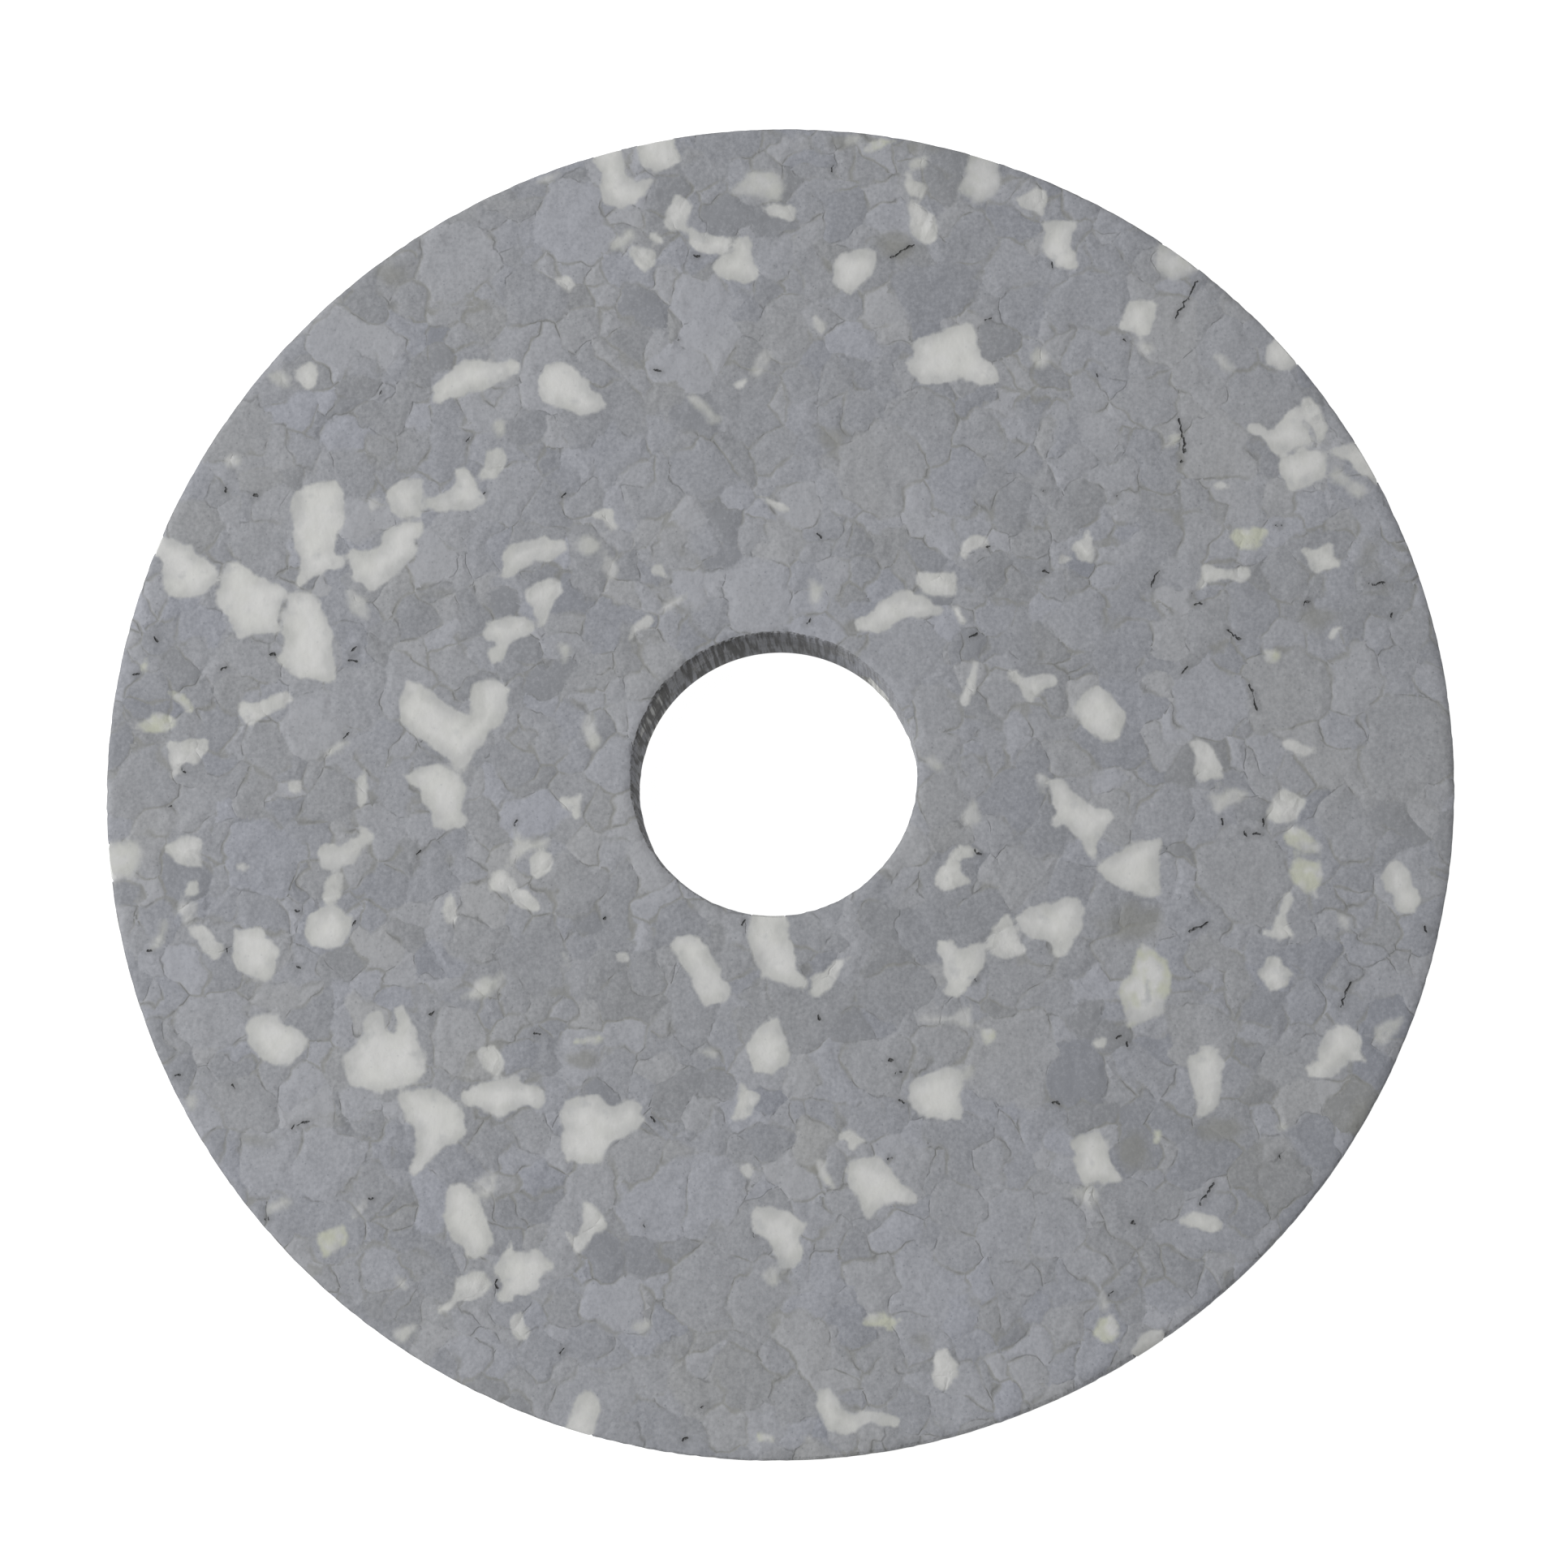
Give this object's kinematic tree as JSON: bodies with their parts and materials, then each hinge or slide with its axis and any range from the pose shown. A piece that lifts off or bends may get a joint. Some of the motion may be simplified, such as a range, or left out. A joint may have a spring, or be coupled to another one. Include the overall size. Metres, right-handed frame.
{
  "type": "polishing wheel",
  "caption": "Flat round polishing wheel of bonded foam crumb, with a plain central bore that clamps on a lapidary spindle between flanges.",
  "frame": {"origin": "centre of the back face, on the axis of the bore", "axes": "+Z along the bore axis, out of the front face; +X to the right and +Y up as the front face is seen"},
  "size_m": [0.15, 0.15, 0.0115],
  "materials": {
    "grey_crumb": "matte, open-celled, blue-grey foam crumb with tan binder seams",
    "white_crumb": "matte, open-celled, off-white foam crumb"
  },
  "bodies": {
    "root": {"crumb_body": "grey_crumb", "white_crumb_01": "white_crumb", "white_crumb_02": "white_crumb", "white_crumb_03": "white_crumb", "white_crumb_04": "white_crumb", "white_crumb_05": "white_crumb", "white_crumb_06": "white_crumb", "white_crumb_07": "white_crumb", "white_crumb_08": "white_crumb", "white_crumb_09": "white_crumb", "white_crumb_10": "white_crumb", "white_crumb_11": "white_crumb", "white_crumb_12": "white_crumb", "white_crumb_13": "white_crumb", "white_crumb_14": "white_crumb", "white_crumb_15": "white_crumb", "white_crumb_16": "white_crumb", "white_crumb_17": "white_crumb", "white_crumb_18": "white_crumb", "white_crumb_19": "white_crumb", "white_crumb_20": "white_crumb", "white_crumb_21": "white_crumb", "white_crumb_22": "white_crumb", "white_crumb_23": "white_crumb", "white_crumb_24": "white_crumb", "white_crumb_25": "white_crumb", "white_crumb_26": "white_crumb", "white_crumb_27": "white_crumb", "white_crumb_28": "white_crumb", "white_crumb_29": "white_crumb", "white_crumb_30": "white_crumb", "white_crumb_31": "white_crumb", "white_crumb_32": "white_crumb", "white_crumb_33": "white_crumb", "white_crumb_34": "white_crumb", "white_crumb_35": "white_crumb", "white_crumb_36": "white_crumb", "white_crumb_37": "white_crumb", "white_crumb_38": "white_crumb", "white_crumb_39": "white_crumb", "white_crumb_40": "white_crumb", "white_crumb_41": "white_crumb", "white_crumb_42": "white_crumb", "white_crumb_43": "white_crumb", "white_crumb_44": "white_crumb", "white_crumb_45": "white_crumb", "white_crumb_46": "white_crumb", "white_crumb_47": "white_crumb", "white_crumb_48": "white_crumb", "white_crumb_49": "white_crumb", "white_crumb_50": "white_crumb", "white_crumb_51": "white_crumb", "white_crumb_52": "white_crumb", "white_crumb_53": "white_crumb", "white_crumb_54": "white_crumb", "white_crumb_55": "white_crumb", "white_crumb_56": "white_crumb", "white_crumb_57": "white_crumb", "white_crumb_58": "white_crumb"}
  },
  "joints": []
}
